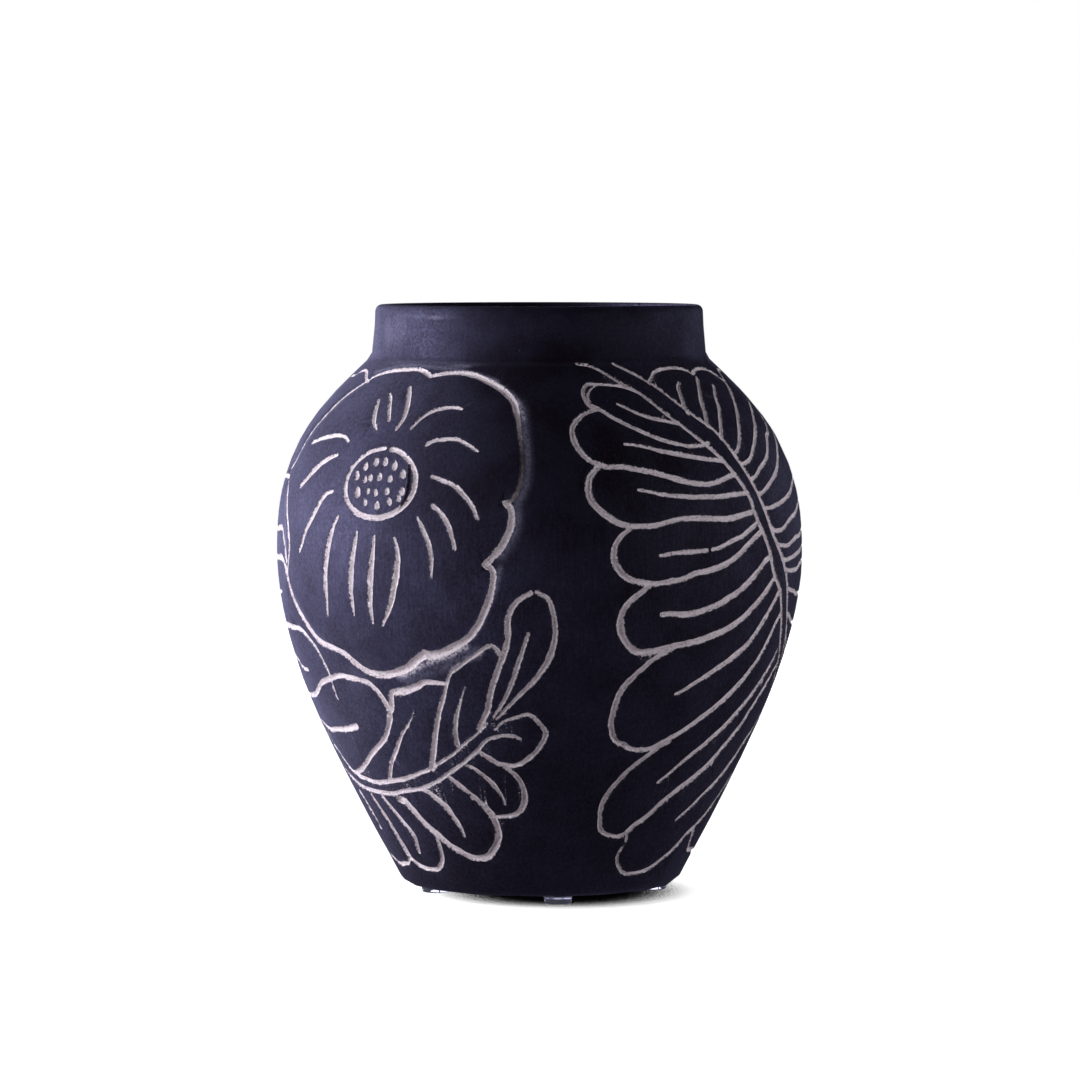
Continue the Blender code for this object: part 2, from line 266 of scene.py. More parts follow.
# The lobes on the frond's right: first the two at the collar, then edges and veins from the stem outwards.
FROND_RIGHT = strokes(
    ((1.2, 1.8, 1.6), ((34, 229.8), (36.3, 232.5), (38.7, 234.7), (41.3, 235.6), (44.7, 236.1), (48, 236.3),
        (51.3, 236), (53.5, 235), (55.3, 233.5))),
    ((1.6, 1.9, 1.8), ((55.3, 233.5), (58, 234.7), (60.7, 235.5), (64, 235.6), (67, 235), (69.7, 233.7),
        (71.7, 231.9), (73, 229))),
    ((1.4, 1.6, 1.4), ((73.3, 229.5), (75.3, 231), (78, 233.5), (82, 234.6), (86, 234), (89.5, 231))),
    ((1.4, 1.6, 1.3), ((90.5, 230.5), (95, 232), (100, 232.3), (103, 233.8), (107, 234.7), (110, 234.2),
        (112.7, 233), (115.3, 231.3), (118.3, 230))),
    ((1.8, 2.1, 1.4), ((41.7, 217), (42, 221), (43, 225), (44, 228), (45.7, 230))),
    ((2.0, 2.3, 1.6), ((46.3, 211.5), (47.7, 216), (49.3, 221), (51.3, 225), (53.7, 228.5), (56, 231.5))),
    ((1.8, 2.1, 1.4), ((49, 206), (50.7, 210), (52.7, 214), (55, 218), (57.7, 223.5), (60, 226),
        (62, 228.5))),
    ((1.6, 2.1, 1.6), ((51.3, 199), (53.3, 200.5), (55.3, 203.5), (57.7, 208), (60.7, 213), (64, 217.5),
        (67.3, 222), (70.3, 225.5), (73.3, 229))),
    ((1.6, 2.1, 1.4), ((53, 194.5), (55.3, 195.2), (58, 197.5), (60.7, 201), (64, 205), (67.3, 208.5),
        (71, 212.5), (74.7, 216), (78, 218.5), (82, 221.5))),
    ((1.6, 2.1, 1.7), ((55, 188), (57.3, 189), (60, 192), (63.3, 194.5), (66.7, 197.5), (70, 202),
        (73.3, 205.5), (76.3, 207), (81, 211), (86, 219), (90, 230))),
    ((1.6, 2.2, 1.4), ((56.7, 181), (58.7, 182), (61.3, 184), (64.7, 187), (68, 189.5), (71.3, 193),
        (74.7, 197), (78, 200.5), (81.3, 203.5), (88, 209), (95, 215))),
    ((1.6, 2.0, 1.8), ((58, 175), (60.7, 175), (64, 176), (67.3, 177), (70.7, 178.5), (74, 180),
        (77.3, 182), (80.7, 184), (88, 186), (95, 187), (101.5, 186.5))),
    ((1.6, 2.1, 1.3), ((59.7, 167), (62, 165), (64, 164.7), (66.7, 165.5), (70, 168), (73.3, 170),
        (76.7, 171), (80.7, 173.5), (87, 175.5), (93, 176.5))),
    ((1.6, 2.1, 2.2), ((62.7, 159), (65.3, 158), (68.7, 157.8), (72, 159), (75.3, 160.5), (79.3, 161),
        (87, 163), (96.3, 164), (100.5, 165), (103, 165), (104.7, 161.5), (106.3, 156.5), (107, 150.5))),
    ((1.6, 2.1, 1.3), ((65, 152), (68, 151.5), (71.3, 152), (75.3, 153), (79.3, 154), (86, 155.5),
        (93, 156.5))),
    ((1.6, 2.2, 2.8), ((67, 147.5), (69.3, 146.7), (72.7, 146.2), (76.7, 146.5), (80, 148), (88, 149.5),
        (97, 150.6), (102.7, 151.3), (105, 150.2), (106.7, 147.5), (108.3, 142.5))),
    ((1.6, 2.0, 1.3), ((70, 138.5), (72.7, 137.5), (76, 136.5), (79.3, 135), (87, 134.5), (94, 135),
        (100, 135.6))),
    ((1.6, 2.6, 1.0), ((73.3, 127), (75.3, 126), (78, 124), (80, 122.7), (88, 121), (97, 120.2), (100, 121),
        (103.7, 120.6), (110.7, 120), (113.3, 118.8), (116, 116), (118.3, 112.5), (120, 107), (121, 103.3),
        (121.3, 99), (121.2, 95.5), (121.7, 90.7))),
    ((1.6, 2.2, 1.6), ((78, 116), (83, 111), (90, 107.5), (100, 105), (102, 102.7), (104.7, 101.5),
        (108, 102))),
    ((1.8, 2.4, 2.0), ((64.3, 31), (66.3, 28.3), (68, 24.3), (70, 21.4), (72.7, 20.5), (76, 20.2),
        (80, 19.5), (86, 18.2), (92, 18.8), (97, 21.5))),
    ((1.8, 2.6, 2.4), ((83, 34), (84.5, 43), (88, 55), (92, 64))),
)

# The branch below the flower: its stem's two cuts, then its leaves from the tip back to the left.
BRANCH_STEM = strokes(
    ((2.2, 2.1, 0.8), ((-76.3, 66), (-74, 62), (-72, 58.8), (-70, 56.5), (-67.3, 55.2), (-64, 54.4),
        (-60.7, 53.8), (-57.3, 53.3), (-54.7, 53.3), (-50, 54.4), (-46.7, 55.2), (-43.3, 56.1), (-40, 57.5),
        (-36.7, 59.2), (-33.3, 61), (-30, 63.5), (-27.3, 65.8), (-24.7, 68), (-21.7, 71.5), (-19, 75),
        (-16.3, 78.5), (-13, 83.5))),
    ((2.3, 2.0, 1.4), ((-77, 54), (-74.7, 53), (-72, 51.5), (-69.3, 50.2), (-66, 49.5), (-62, 49),
        (-58, 48.8), (-54, 48.6), (-50, 48.8), (-46.7, 50), (-43.3, 50.9), (-40, 51.6), (-36.7, 52.6),
        (-33.3, 54.5), (-30, 56.8), (-26.7, 59.8), (-23.3, 63), (-21.3, 65), (-19.3, 67.5), (-16.7, 71),
        (-14.7, 74.5), (-13, 76.6), (-11, 77.6), (-9, 78.2), (-6.7, 78), (-5, 76.8))),
)

LEAVES = strokes(
    # the upright leaf at the tip
    ((2.2, 2.7, 2.0), ((-15.3, 81), (-14, 85), (-12.7, 89), (-12, 94), (-11, 100), (-9.7, 106), (-8, 114),
        (-6.9, 121), (-6.8, 129), (-6, 134), (-4.5, 138), (-1.8, 141.4))),
    ((1.6, 2.6, 1.0), ((-0.6, 141.6), (1.7, 139), (2.8, 134), (3.3, 128), (3.4, 122), (2.7, 116),
        (1.5, 110), (-0.5, 104.5), (-3, 99.5), (-6, 93.8), (-9.3, 88), (-10.6, 85.6))),
    ((1.4, 2.2, 0.9), ((-2.4, 123.5), (-3.7, 116), (-4.9, 109.5), (-6.2, 102.5), (-7.6, 96.5), (-9.6, 90.5),
        (-11.4, 86.5))),
    # the small leaf right of the tip, and the one below it
    ((0.9, 2.2, 2.2), ((-11.3, 80.8), (-9, 84.3), (-7, 85.8), (-5, 86.8), (-3.3, 87.8), (-2, 87.2),
        (0, 83.8), (1.5, 80), (1.2, 77), (0, 73), (-2, 69.3), (-4.5, 66.2), (-7, 64.6), (-9.3, 64.9),
        (-11.7, 65.8), (-14, 68.2), (-16, 70.2))),
    ((1.6, 2.6, 1.8), ((-9.7, 64), (-8.3, 62.4), (-6.3, 59.5), (-4.9, 55), (-4.4, 50.5), (-4.7, 47),
        (-6, 44), (-8.3, 42), (-11, 41.1), (-13.3, 40.8), (-15.3, 40.6))),
    ((1.4, 2.1, 0.6), ((-20, 64), (-18.3, 63), (-16.3, 60.5), (-14, 57), (-12.3, 53.5), (-11, 50),
        (-10.3, 46.5))),
    # the second leaf, its vein, and the edge it shares with the third
    ((2.8, 2.2, 1.2), ((-31.3, 62), (-30.3, 66), (-29, 71), (-27.7, 77), (-26.3, 83), (-25, 88.5),
        (-23.7, 93), (-22.3, 99), (-21.3, 103.5), (-20.5, 106))),
    ((1.2, 1.6, 1.9), ((-20.5, 106), (-19, 107.7), (-17, 110.5), (-15, 113), (-12.7, 116.2), (-11, 118),
        (-9.7, 117), (-8.6, 114))),
    ((2.4, 1.7, 0.1), ((-21.7, 73.5), (-21.8, 78), (-21.3, 83), (-20.3, 88), (-19.2, 92.5), (-18.2, 97),
        (-17.3, 100))),
    ((2.0, 3.6, 1.6), ((-39.8, 86.5), (-38.7, 89), (-38.2, 93), (-37.5, 95.8), (-34.3, 96.6), (-31.7, 97.8),
        (-29.7, 99.2), (-28, 101), (-25.3, 101.3), (-22, 100.8))),
    ((2.0, 1.8, 0.1), ((-48.7, 56), (-46.7, 60.5), (-44.7, 64.5), (-42, 69), (-39.7, 73.5), (-37.3, 78),
        (-35, 81.5), (-33, 85.5), (-32, 88.5))),
    # the long leaf behind
    ((2.0, 2.5, 2.2), ((-94, 89.8), (-86, 89), (-80, 89.5), (-74, 90.7), (-71.3, 92), (-68.7, 94),
        (-65.3, 97), (-62, 98.5), (-56, 101), (-52.7, 101.5), (-46, 100.3), (-43.9, 99), (-41.9, 96),
        (-40.4, 91.5), (-39.9, 87), (-40.9, 82), (-43.6, 76), (-46.7, 72.2), (-50, 69), (-53.3, 66),
        (-56, 63.2), (-59.3, 60.5), (-62.7, 58.2), (-66, 56.6), (-69.3, 56))),
    ((1.6, 2.2, 2.8), ((-86, 79), (-80, 77.5), (-77.3, 76.5), (-74.7, 75.3), (-72, 75), (-68, 75.7),
        (-64.7, 76.2), (-61.3, 76.7), (-58, 77.5), (-54.7, 79))),
    # the leaves below the branch's stem
    ((2.0, 3.2, 3.4), ((-27, 59.5), (-25.3, 57), (-22.7, 53.5), (-20, 50), (-17.3, 46), (-15, 41.5),
        (-13.8, 37), (-13.8, 32), (-15, 28), (-17, 24.5), (-19.3, 22), (-22.7, 21.3), (-26, 22),
        (-29.3, 24), (-32, 26), (-35, 29), (-37.3, 32), (-39.7, 34.8), (-42, 38.5), (-44, 42.5),
        (-46, 45.8), (-48.3, 46.3))),
    ((2.2, 2.8, 0.7), ((-37, 52), (-34.7, 50.5), (-32, 47.5), (-30, 44.5), (-28.3, 40), (-26.7, 35.5),
        (-26, 31))),
    ((1.6, 2.3, 2.0), ((-37.5, 29), (-37.6, 24), (-38.7, 19.5), (-40.7, 16.6), (-43.3, 14.8), (-46.7, 14.5),
        (-50, 14.7), (-52, 15.2), (-54.7, 16.5), (-57, 18.6))),
    ((1.8, 2.8, 3.4), ((-63.7, 47), (-62, 42), (-60.3, 36), (-59, 30), (-58, 25), (-57.4, 20))),
    ((2.0, 2.8, 1.8), ((-56.7, 47), (-54.7, 43), (-52.3, 38), (-50, 34), (-48.3, 30), (-48.7, 26),
        (-49.5, 22))),
    ((1.8, 1.9, 1.8), ((-57, 19), (-59, 17.5), (-61.3, 15.8), (-64.7, 15.3), (-68, 14.6), (-70, 14.4),
        (-72, 15), (-74.7, 16.5), (-77.3, 17), (-80, 19), (-82, 26), (-83, 38), (-82, 55))),
    ((2.2, 2.9, 2.2), ((-73.3, 47), (-72, 42), (-70.7, 36), (-70.3, 31))),
)

# Pale residue rubbed over the ground: (radius mm, strength, path).
SMEARS = (
    (5.5, 0.12, ((-3.5, 221), (-1.6, 211), (-0.8, 200), (-1.2, 189), (-2.8, 178), (-4.4, 167),
        (-7.3, 157))),
    (2.2, 0.32, ((-5.0, 221), (-3.6, 211), (-2.7, 200), (-3.0, 189), (-4.4, 180), (-4.8, 170),
        (-8.0, 157))),
    (1.3, 0.80, ((-16, 232.6), (-12, 230.3), (-8.6, 227), (-6.2, 223.5), (-4.6, 219.5), (-3.8, 215))),
    (1.7, 1.0, ((-34, 103.2), (-31, 105.0), (-27.5, 108.6), (-24, 111), (-20, 113.8), (-16, 117.5))),
    (2.6, 0.34, ((-32, 102), (-26, 106), (-20, 110), (-14, 116))),
    (1.3, 1.0, ((-20, 107.5), (-17, 111), (-13, 115))),
    (2.4, 0.35, ((-77.5, 182), (-74.8, 173), (-73.2, 164), (-72.6, 154), (-73.4, 146))),
    (2.4, 0.35, ((-78.5, 191), (-75.4, 200), (-72.5, 212), (-68, 223), (-63.5, 229))),
    (2.2, 0.25, ((-70, 137), (-66, 130.5), (-61.5, 121), (-56, 115))),
    (1.6, 0.35, ((-8, 152), (-9.6, 142), (-12.2, 130), (-15, 122))),
    (1.2, 0.45, ((-62, 234.0), (-54, 236.2), (-46, 237.0), (-38, 236.6), (-28, 236.0), (-18, 233.6))),
)
SMEAR_REACH = (5.5, 2.5)  # mm from a cut: a smear ends between these
DUST_AND_HIGHLIGHT_PATCHES = (  # pale patches on the front: middle across and up, half width, half height in mm, strength
    # thin dust on the collar
    (-63.0, 254.0, 5.0, 9.0, 0.12),
    (-67.5, 252.0, 2.4, 9.0, 0.14),
    (-47.0, 260.0, 16.0, 1.3, 0.09),
    (-46.0, 259.6, 4.0, 1.3, 0.25),
    # a painted highlight along the collar's foot, strongest on its lit left side
    (-47.0, 239.4, 27.0, 1.8, 0.17),
    (-34.0, 238.6, 6.0, 1.1, 0.30),
    (10.0, 239.6, 60.0, 1.2, 0.025),
    # a faint pale patch low on the belly's left edge
    (-78.0, 104.0, 10.0, 12.0, 0.08),
)


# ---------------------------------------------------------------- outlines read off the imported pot

SWEEP_CENTRE_HEIGHT = 140.0  # mm, all of the wall can be seen from this point on the axis
SWEEP_STEPS = 2400
SWEEP_START = -math.pi / 2 + 0.0005  # just off straight down, which would run along the axis
SMOOTHING = 1.6  # mm along the wall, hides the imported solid's flats


def read_walls(node):
    """The solid's outlines as (radius, height) in mm: outside from foot to lip, inside downwards."""
    solid = node.data
    tree = BVHTree.FromPolygons([v.co for v in solid.vertices], [p.vertices for p in solid.polygons])
    centre = Vector((0.0, 0.0, SWEEP_CENTRE_HEIGHT * MM))
    outside, inside = [], []
    for angle in np.linspace(SWEEP_START, math.pi / 2, SWEEP_STEPS):
        away = Vector((math.cos(angle), 0.0, math.sin(angle)))
        near = tree.ray_cast(centre, away, 1.0)[0]
        if near is None:
            break
        far = tree.ray_cast(centre + away, -away, 1.0)[0]
        outside.append((far.x / MM, far.z / MM))
        inside.append((near.x / MM, near.z / MM))
    return np.array(outside), np.array(inside[::-1])


def distances(across, up):
    """How far along a path each of its points lies, from the steps between them across and up."""
    return np.concatenate(([0.0], np.cumsum(np.hypot(across, up))))


def spaced(path, along, count):
    """So many points, evenly spaced along a path."""
    stations = np.linspace(0.0, along[-1], count)
    return np.column_stack([np.interp(stations, along, path[:, i]) for i in (0, 1)])


def even_spacing(outline, step):
    """The outline at even steps along its length."""
    along = distances(*np.diff(outline, axis=0).T)
    return spaced(outline, along, max(2, round(along[-1] / step) + 1))


def smoothed(outline, step):
    """The evenly spaced outline with its corners eased. Both ends stay put."""
    half = int(3 * SMOOTHING / step)
    kernel = np.exp(-0.5 * (np.arange(-half, half + 1) * step / SMOOTHING) ** 2)
    kernel /= kernel.sum()
    before = 2 * outline[0] - outline[half:0:-1]
    after = 2 * outline[-1] - outline[-2 : -half - 2 : -1]
    led_on = np.vstack([before, outline, after])
    return np.column_stack([np.convolve(led_on[:, i], kernel, "valid") for i in (0, 1)])


# ---------------------------------------------------------------- the unrolled wall, and cutting into it


class Wall:
    """The outer wall unrolled: a row for each station along its outline, a column for each azimuth."""

    def __init__(self, outline):
        self.radius, self.height = outline[:, 0], outline[:, 1]
        self.along = distances(*np.diff(outline, axis=0).T)
        self.step = self.along[1]
        self.azimuths = np.arange(COLUMNS) * 360.0 / COLUMNS
        size = (len(outline), COLUMNS)
        self.gap = np.full(size, FAR)  # mm to the nearest cut's edge, negative inside it
        self.half = np.ones(size)  # half the width of that cut, mm
        self.clean = np.ones(size)  # how clear of black that cut is
        self.slope = np.zeros(size)  # depth of ground that slopes down to a cut, mm
        self.smear = np.zeros(size)

    def along_at(self, height):
        return np.interp(height, self.height, self.along)

    def radius_at(self, along):
        return np.interp(along, self.along, self.radius)

    def window(self, a, b, reach):
        """Rows and columns within reach of the stretch from a to b, and their offsets from a in mm."""
        first = max(int((min(a[1], b[1]) - reach) / self.step), 0)
        last = min(int((max(a[1], b[1]) + reach) / self.step) + 1, len(self.along) - 1)
        rows = np.arange(first, last + 1)
        mm_per_degree = math.radians(1.0) * max(self.radius_at((a[1] + b[1]) / 2), 1.0)
        spread = reach / mm_per_degree
        left = math.floor((min(a[0], b[0]) - spread) * COLUMNS / 360.0)
        right = math.ceil((max(a[0], b[0]) + spread) * COLUMNS / 360.0)
        columns = np.arange(left, right + 1)
        x = (columns * 360.0 / COLUMNS - a[0]) * mm_per_degree
        y = self.along[rows] - a[1]
        place = np.ix_(rows, columns % COLUMNS)
        return place, x[None, :], y[:, None], mm_per_degree

    def stretches(self, path, reach):
        """For each stretch of the path: its window, and its points' distance, side and share of the path."""
        for station, (a, b) in enumerate(zip(path, path[1:])):
            place, x, y, mm_per_degree = self.window(a, b, reach)
            dx, dy = (b[0] - a[0]) * mm_per_degree, b[1] - a[1]
            length = max(math.hypot(dx, dy), 1e-6)
            t = np.clip((x * dx + y * dy) / length**2, 0.0, 1.0)
            away_x, away_y = x - t * dx, y - t * dy
            side = (dx * away_y - dy * away_x) / length  # positive to the left of the direction of travel
            yield place, np.hypot(away_x, away_y), side, (station + t) / (len(path) - 1)

    def cut(self, path, widths, clean, slope_width=0.0):
        """Cuts a groove. With a slope width, the ground on the path's left slopes down to it."""
        stations = np.linspace(0.0, 1.0, len(widths))
        for place, distance, side, share in self.stretches(path, REACH):
            half = np.interp(share, stations, widths) / 2
            gap = distance - half
            nearer = gap < self.gap[place]
            self.gap[place] = np.where(nearer, gap, self.gap[place])
            self.half[place] = np.where(nearer, half, self.half[place])
            clear = np.interp(share, (0.0, 0.5, 1.0), clean)
            self.clean[place] = np.where(nearer, clear, self.clean[place])
            if slope_width > 0.0:
                rise = np.clip((side - half * SLOPE_START) / slope_width, 0.0, 1.0)
                fade = np.clip(1.0 - (distance - np.abs(side)) / SLOPE_END, 0.0, 1.0)
                low = SLOPE_DEPTH * (1.0 - rise) ** 2 * fade * (side > 0.0)
                self.slope[place] = np.maximum(self.slope[place], low)

    def rub(self, path, radius, strength):
        """Rubs dust into the wall along a path."""
        for place, distance, _, _ in self.stretches(path, radius * SMEAR_WINDOW):
            layer = strength * np.exp(-((distance / radius) ** 2))
            self.smear[place] = np.maximum(self.smear[place], layer)

    def depth(self, cuts):
        """How far the surface lies below the plain wall, in mm, with its cuts or with only its slopes."""
        if not cuts:
            return self.slope
        inside = np.clip(-self.gap / self.half, 0.0, 1.0)
        deepest = np.minimum(2 * self.half * DEPTH_PER_WIDTH, DEEPEST)
        groove = deepest * (1.0 - (1.0 - inside) ** GOUGE_POWER)
        return np.maximum(groove, self.slope)


def curve_through(points, per_span):
    """A Catmull-Rom curve through the points."""
    points = np.array(points, float)
    guide = np.vstack([2 * points[0] - points[1], points, 2 * points[-1] - points[-2]])
    t = np.arange(per_span)[:, None] / per_span
    spans = []
    for p0, p1, p2, p3 in zip(guide, guide[1:], guide[2:], guide[3:]):
        bend = 2 * p0 - 5 * p1 + 4 * p2 - p3
        twist = 3 * p1 - p0 - 3 * p2 + p3
        spans.append(0.5 * (2 * p1 + (p2 - p0) * t + bend * t**2 + twist * t**3))
    return np.vstack(spans + [points[-1:]])


def slow_noise(rng, count, reach):
    """Random numbers of about unit size that change slowly over reach stations."""
    raw = rng.standard_normal(count + 2 * reach)
    kernel = np.hanning(2 * reach + 1)
    return np.convolve(raw, kernel / np.sqrt((kernel**2).sum()), "valid")


def lay_out(wall, points, rng, drift):
    """A stroke's path as (azimuth, place along the outline), drawn a little unsteadily."""
    curve = curve_through(points, CURVE_STEPS)
    curve[:, 1] = wall.along_at(curve[:, 1])
    around = np.radians(np.diff(curve[:, 0])) * wall.radius_at((curve[1:, 1] + curve[:-1, 1]) / 2)
    along = distances(around, np.diff(curve[:, 1]))
    count = max(3, round(along[-1] / STROKE_STEP) + 1)
    path = spaced(curve, along, count)
    mm_per_degree = math.radians(1.0) * wall.radius_at(path[:, 1])
    for axis, scale in ((0, mm_per_degree), (1, 1.0)):
        off = slow_noise(rng, count, TREMBLE) * LINE_JITTER + slow_noise(rng, count, SWAY) * drift
        path[:, axis] += off / scale
    return path


def carve_stroke(wall, stroke, turn, seed, drift, slope_width=0.0):
    rng = np.random.default_rng(seed)
    points = [(azimuth + turn, height) for azimuth, height in stroke.points]
    path = lay_out(wall, points, rng, drift)
    last = len(stroke.widths) - 1
    widths = np.interp(np.linspace(0, last, len(path)), np.arange(last + 1), stroke.widths)
    widths = SOOTED + widths * (1.0 + WIDTH_JITTER * slow_noise(rng, len(path), WIDTH_STATIONS))
    wall.cut(path, widths, stroke.clean, slope_width)


def ring_stroke():
    """The ring round the flower's seeds, clockwise from the top, where its ends don't quite meet."""
    (azimuth, height), (across, up) = RING_CENTRE, RING_HALF_SIZE
    around = np.radians(np.linspace(*RING_ENDS, RING_POINTS))
    return Stroke(RING_WIDTHS, [(azimuth + across * math.cos(a), height + up * math.sin(a)) for a in around])


def seed_stroke(azimuth, height, length):
    """A nick made by pressing the gouge in: a point at the top, wide and round at the bottom."""
    widths = [least + length * more for least, more in SEED_WIDTHS]
    return Stroke(widths, [(azimuth + length * x, height + length * y) for x, y in SEED_POINTS])


def carve(wall):
    plain = PETAL_CUTS + STEM + FROND_LEFT + FROND_RIGHT + BRANCH_STEM + LEAVES
    plain = plain + [ring_stroke(), RING_PAINTED_SHADOW] + [seed_stroke(*seed) for seed in SEEDS]
    for turn, drift, seed in ((0.0, 0.0, 0), (180.0, BACK_DRIFT, BACK_SEED)):
        for i, (stroke, slope_width) in enumerate(zip(FLOWER_EDGE, FLOWER_EDGE_SLOPES)):
            carve_stroke(wall, stroke, turn, seed + i, drift, slope_width)
        for i, stroke in enumerate(plain):
            carve_stroke(wall, stroke, turn, seed + PLAIN_SEED + i, drift)
        for i, (radius, strength, points) in enumerate(SMEARS):
            rng = np.random.default_rng(seed + SMEAR_SEED + i)
            path = lay_out(wall, [(a + turn, h) for a, h in points], rng, drift)
            wall.rub(path, radius, strength)


# ---------------------------------------------------------------- the shell


def wobble(azimuths, heights):
    """How far a hand-built wall strays from round, in mm outwards, at each row and column."""
    rng = np.random.default_rng(WOBBLE_SEED)
    total = np.zeros((len(heights), len(azimuths)))
    for lobes in WOBBLE_LOBES:
        around = np.radians(azimuths * lobes + rng.uniform(0, 360))
        up = 2 * math.pi * heights / rng.uniform(*WOBBLE_WAVES) + rng.uniform(0, 2 * math.pi)
        total += WOBBLE / lobes * np.cos(around)[None, :] * np.cos(up)[:, None]
    return total


def smooth_share(values, start, end):
    """0 below the start, 1 above the end, and smooth between."""
    t = np.clip((values - start) / (end - start), 0.0, 1.0)
    return t * t * (3.0 - 2.0 * t)


def throwing_marks(heights, azimuths):
    """The rings that fingers leave inside a pot, climbing a little round the axis, from 0 to 1."""
    rng = np.random.default_rng(THROWING_SEED)
    climb = azimuths[None, :] / 360.0 * 2 * math.pi
    sway = THROWING_SWAY * np.cos(np.radians(azimuths * 3 + rng.uniform(0, 360)))[None, :]
    return 0.5 + 0.5 * np.cos(2 * math.pi * heights[:, None] / THROWING_PITCH + climb + sway)


class Shell:
    """The pot's whole surface as a grid of rows along its section and columns round the axis."""

    def __init__(self, outer, inner):
        start = int(np.argmax(outer[:, 0] > UNDERSIDE_RADIUS))
        underside = even_spacing(outer[: start + 1], PLAIN_ROW_STEP)[1:-1]
        self.wall = Wall(smoothed(even_spacing(outer[start:], ROW_STEP), ROW_STEP))
        inside = smoothed(even_spacing(inner, ROW_STEP), ROW_STEP)
        lip_rows = int(LIP_ZONE / ROW_STEP)
        plain = even_spacing(inside[lip_rows:], PLAIN_ROW_STEP)[:-1]
        wall_outline = np.column_stack([self.wall.radius, self.wall.height])
        self.section = np.vstack([underside, wall_outline, inside[1:lip_rows], plain])
        self.first, self.last = len(underside), len(underside) + len(wall_outline)
        self.floors = (outer[0, 1], inner[-1, 1])  # heights of the underside's and the floor's centres

    def on_wall(self, values, elsewhere):
        """The wall's grid of values set into a grid for the whole section."""
        grid = np.full((len(self.section), COLUMNS), float(elsewhere))
        grid[self.first : self.last] = values
        return grid

    def places(self, cuts=True):
        """The position of every grid point, in metres, with or without the cuts."""
        sunk = self.on_wall(self.wall.depth(cuts), 0.0)
        inner_heights = self.section[self.last :, 1]
        fade = np.interp(self.section[self.last :, 0], RINGS_FADE, (0.0, 1.0))[:, None]
        sunk[self.last :] = THROWING_DEPTH * fade * throwing_marks(inner_heights, self.wall.azimuths)
        tangent = np.gradient(self.section, axis=0)
        tangent /= np.hypot(tangent[:, 0], tangent[:, 1])[:, None]
        out_r, out_z = tangent[:, 1:], -tangent[:, :1]
        radius, height = self.section[:, :1], self.section[:, 1:]
        steady = np.clip(radius / UNDERSIDE_RADIUS, 0.0, 1.0) ** 2
        radius = radius - sunk * out_r + steady * wobble(self.wall.azimuths, self.section[:, 1])
        above_throat = self.section[:, 1:] - THROAT
        collar = smooth_share(above_throat, -2 * THROAT_HALF, THROAT_HALF)
        throat = THROAT_DEPTH * np.exp(-((above_throat / THROAT_HALF) ** 2))
        outside = (np.arange(len(self.section)) < self.last)[:, None]
        radius = radius - (COLLAR_NARROWER * collar + throat) * outside
        height = (height - sunk * out_z) * STRETCH
        angle = np.radians(self.wall.azimuths)[None, :]
        lean = LEAN * height / self.section[:, 1].max()
        return np.stack([radius * np.sin(angle) + lean, -radius * np.cos(angle), height], axis=-1) * MM


def add(name, data):
    """Puts a new object with this mesh, light or camera in the scene."""
    thing = bpy.data.objects.new(name, data)
    bpy.context.scene.collection.objects.link(thing)
    return thing


def unit(vectors):
    return vectors / np.maximum(np.linalg.norm(vectors, axis=-1, keepdims=True), 1e-12)


def grid_normals(places):
    """Unit normals of a grid that closes round its columns."""
    around = np.roll(places, -1, axis=1) - np.roll(places, 1, axis=1)
    return unit(np.cross(around, np.gradient(places, axis=0)))


def hand_in(name, mesh, material, node, location=(0.0, 0.0, 0.0)):
    """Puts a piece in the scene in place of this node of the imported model."""
    mesh.materials.append(material)
    part = add(name, mesh)
    part.location = location
    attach(part, "root")
    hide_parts(node)


def grid_mesh(name, places, floors):
    """A closed mesh from the grid and a point on the axis at each end. It keeps each vertex's row."""
    rows, columns = places.shape[:2]
    poles = np.array([[0.0, 0.0, floors[0] * MM], [0.0, 0.0, floors[1] * MM]])
    vertices = np.vstack([places.reshape(-1, 3), poles])
    index = np.arange(rows * columns).reshape(rows, columns)
    following = np.roll(index, -1, axis=1)
    quads = np.stack([index[:-1], following[:-1], following[1:], index[1:]], axis=-1).reshape(-1, 4)
    bottom = np.column_stack([np.full(columns, rows * columns), following[0], index[0]])
    top = np.column_stack([np.full(columns, rows * columns + 1), index[-1], following[-1]])
    loops = np.concatenate([quads.ravel(), bottom.ravel(), top.ravel()])
    sizes = np.concatenate([np.full(len(quads), 4), np.full(2 * columns, 3)])
    mesh = bpy.data.meshes.new(name)
    mesh.vertices.add(len(vertices))
    mesh.vertices.foreach_set("co", vertices.astype(np.float32).ravel())
    mesh.loops.add(len(loops))
    mesh.loops.foreach_set("vertex_index", loops.astype(np.int32))
    mesh.polygons.add(len(sizes))
    mesh.polygons.foreach_set("loop_start", np.concatenate(([0], np.cumsum(sizes)[:-1])).astype(np.int32))
    mesh.update(calc_edges=True)
    row = np.concatenate([np.repeat(np.arange(rows), columns), [0, rows - 1]])
    mesh.attributes.new("row", "FLOAT", "POINT").data.foreach_set("value", row.astype(np.float32))
    return mesh


def thinned(mesh, triangles, kept):
    """The mesh collapsed to about this many triangles: few on the plain ground, many at the cuts.

    The vertices numbered in kept are the last to go.
    """
    dense = add("dense", mesh)
    dense.vertex_groups.new(name="kept").add(kept.tolist(), KEEPING, "REPLACE")
    collapse = dense.modifiers.new("collapse", "DECIMATE")
    collapse.vertex_group = "kept"
    collapse.invert_vertex_group = True
    collapse.ratio = triangles / sum(len(p.vertices) - 2 for p in mesh.polygons)
    graph = bpy.context.evaluated_depsgraph_get()
    light = bpy.data.meshes.new_from_object(dense.evaluated_get(graph))
    bpy.data.objects.remove(dense)
    bpy.data.meshes.remove(mesh)
    return light


